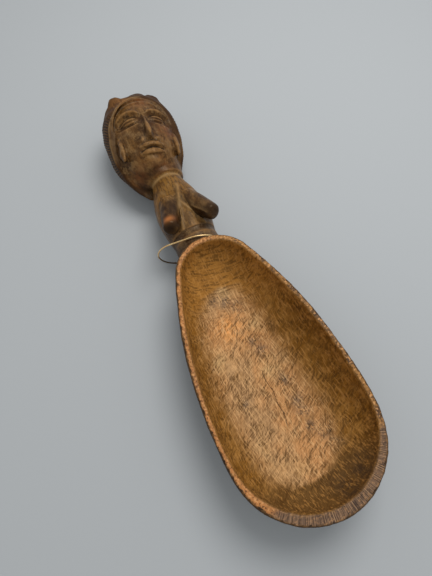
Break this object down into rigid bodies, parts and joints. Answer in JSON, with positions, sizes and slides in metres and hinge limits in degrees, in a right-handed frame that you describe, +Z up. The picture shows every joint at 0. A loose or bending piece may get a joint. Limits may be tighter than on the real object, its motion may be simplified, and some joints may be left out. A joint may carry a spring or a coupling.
{
  "type": "figural carved wooden spoon",
  "caption": "Ladle-like carved wooden spoon with a deep egg-shaped bowl, a handle carved as a bust with a capped head, and a loose wire loop round its waist to hang it up.",
  "frame": {"origin": "under the middle of the spoon's length and width, on the surface that it lies on", "axes": "+Y from the lip of the bowl to the crown of the head, +Z up out of the bowl, +X to the right seen from above with the head away"},
  "size_m": [0.1014, 0.3594, 0.0593],
  "materials": {
    "wood": "hand-scraped, worn and darkened with oil",
    "wire": "dull, handled"
  },
  "bodies": {
    "spoon": {"carved_spoon": "wood"},
    "loop": {"wire_loop": "wire"}
  },
  "joints": [
    {"name": "loop_swing", "type": "hinge", "parent": "spoon", "child": "loop", "pos_m": [0, 0.0225, 0.023], "axis": [0, 1, 0], "range_deg": [-14, 23]}
  ]
}
